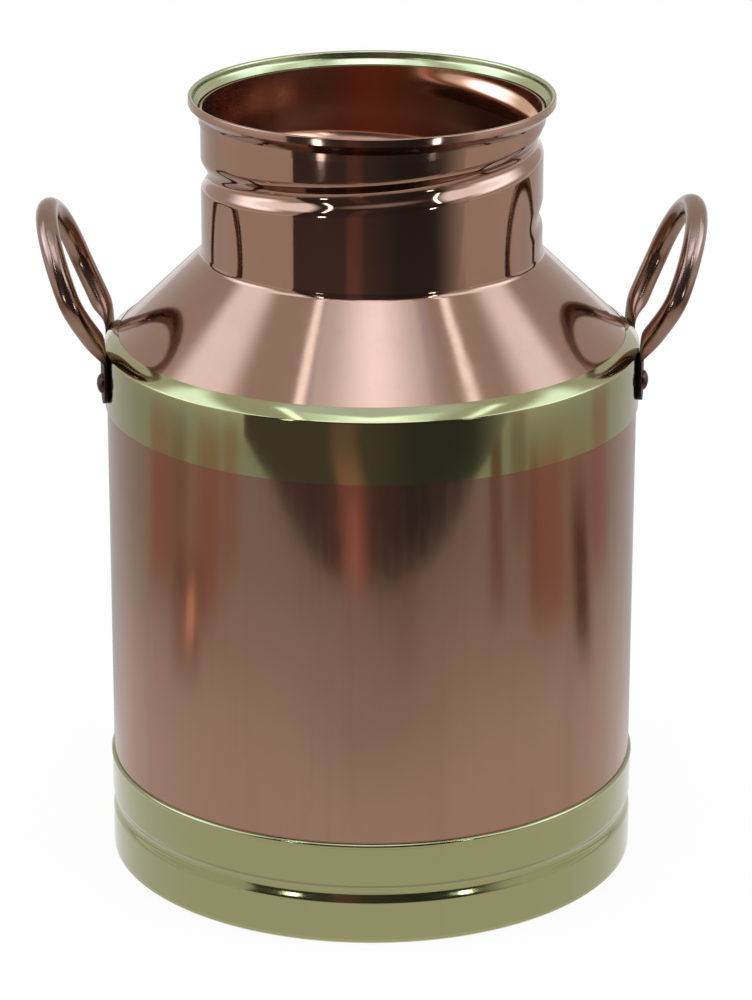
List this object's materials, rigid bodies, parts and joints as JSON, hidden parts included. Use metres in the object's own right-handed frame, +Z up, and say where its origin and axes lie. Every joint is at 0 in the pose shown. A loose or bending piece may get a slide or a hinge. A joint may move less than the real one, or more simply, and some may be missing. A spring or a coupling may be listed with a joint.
{
  "type": "milk jug",
  "caption": "Round copper milk jug with a wide threaded neck, flared mouth, brass bands at foot and shoulder, and two fixed loop handles.",
  "frame": {"origin": "centre of the foot circle, on the surface the jug stands on", "axes": "+Z up along the jug's axis, +X towards the right handle, -Y towards the viewer"},
  "size_m": [0.2752, 0.2224, 0.3279],
  "materials": {
    "copper": "polished copper sheet",
    "brass": "polished brass sheet",
    "handle_copper": "polished copper tube, ends darkened by heat",
    "rivet": "copper, darkened by heat",
    "solder": "dull tin"
  },
  "bodies": {
    "root": {"body_shell": "copper", "bottom_disc": "copper", "bottom_solder": "solder", "base_band": "brass", "shoulder_band": "brass", "shoulder_cone": "copper", "shoulder_solder": "solder", "neck_tube": "copper", "neck_solder": "solder", "mouth_flare": "copper", "mouth_ring": "brass", "handle_left": "handle_copper", "handle_right": "handle_copper", "handle_rivets": "rivet", "rivet_washers": "solder"}
  },
  "joints": []
}
